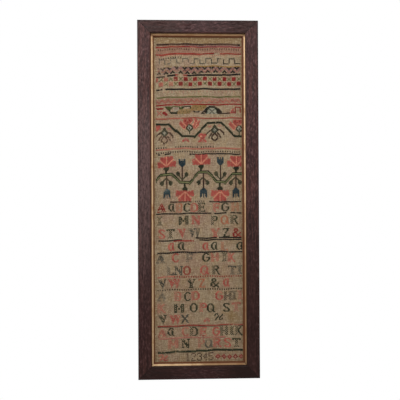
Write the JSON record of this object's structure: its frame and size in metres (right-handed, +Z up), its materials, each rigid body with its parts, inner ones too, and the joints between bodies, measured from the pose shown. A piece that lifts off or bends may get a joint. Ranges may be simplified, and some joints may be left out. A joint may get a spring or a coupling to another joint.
{
  "type": "framed cross stitch sampler",
  "caption": "Long band sampler: linen worked in cross stitch with patterned bands and alphabets, laid on a board in a flat stained wooden frame with a gilt slip, to hang on a wall.",
  "frame": {"origin": "centre of the top rail's back face, where the frame bears on a wall hook; the frame's back lies on y = 0", "axes": "+Z up the long side of the frame, +Y into the wall, +X to the right for someone facing the embroidery; the embroidery faces -Y"},
  "size_m": [0.23, 0.02, 0.68],
  "materials": {
    "stained_oak": "dark stained oak, open grain, worn satin polish",
    "gilt": "old gilding over wood, dulled and rubbed",
    "linen": "plain-weave unbleached linen, aged and stained",
    "board": "plain brown board",
    "thread": "twisted silk and wool embroidery threads in coral, crimson, dark green, olive, indigo, ochre and pink, unevenly faded"
  },
  "bodies": {
    "root": {"rail_top": "stained_oak", "rail_right": "stained_oak", "rail_bottom": "stained_oak", "rail_left": "stained_oak", "slip_top": "gilt", "slip_right": "gilt", "slip_bottom": "gilt", "slip_left": "gilt", "linen_sampler": "linen", "backing_board": "board"}
  },
  "joints": []
}
